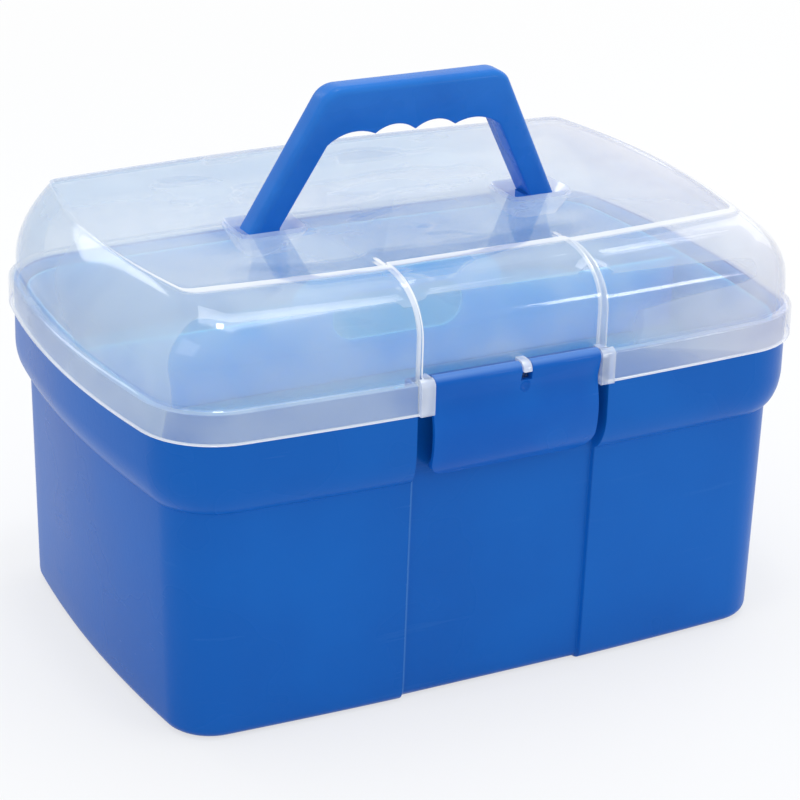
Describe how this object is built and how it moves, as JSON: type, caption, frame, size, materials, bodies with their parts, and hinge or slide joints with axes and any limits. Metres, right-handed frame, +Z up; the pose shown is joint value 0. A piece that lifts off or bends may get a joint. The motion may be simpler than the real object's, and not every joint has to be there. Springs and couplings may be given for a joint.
{
  "type": "grooming case",
  "caption": "Plastic carrying case with a clear domed hinged lid, moulded handle, front snap latch and a lift-out divided tray.",
  "frame": {"origin": "middle of the flat underside that the case stands on", "axes": "+X along the length, -Y towards the latch side, +Z up"},
  "size_m": [0.3458, 0.2451, 0.2675],
  "materials": {
    "tub_plastic": "satin moulded blue",
    "lid_plastic": "clear, slightly milky",
    "handle_plastic": "glossy moulded blue",
    "latch_plastic": "glossy moulded blue",
    "tray_plastic": "satin moulded blue"
  },
  "bodies": {
    "tub": {"tub": "tub_plastic"},
    "lid": {"lid": "lid_plastic", "handle": "handle_plastic"},
    "latch": {"latch": "latch_plastic"},
    "tray": {"tray": "tray_plastic"}
  },
  "joints": [
    {"name": "lid_hinge", "type": "hinge", "parent": "tub", "child": "lid", "pos_m": [0, 0.1226, 0.1405], "axis": [-1, 0, 0], "range_deg": [0, 105]},
    {"name": "latch_hinge", "type": "hinge", "parent": "lid", "child": "latch", "pos_m": [0, -0.1128, 0.1606], "axis": [-1, 0, 0], "range_deg": [0, 105]},
    {"name": "tray_lift", "type": "slide", "parent": "tub", "child": "tray", "axis": [0, 0, 1], "range_m": [0, 0.025]}
  ]
}
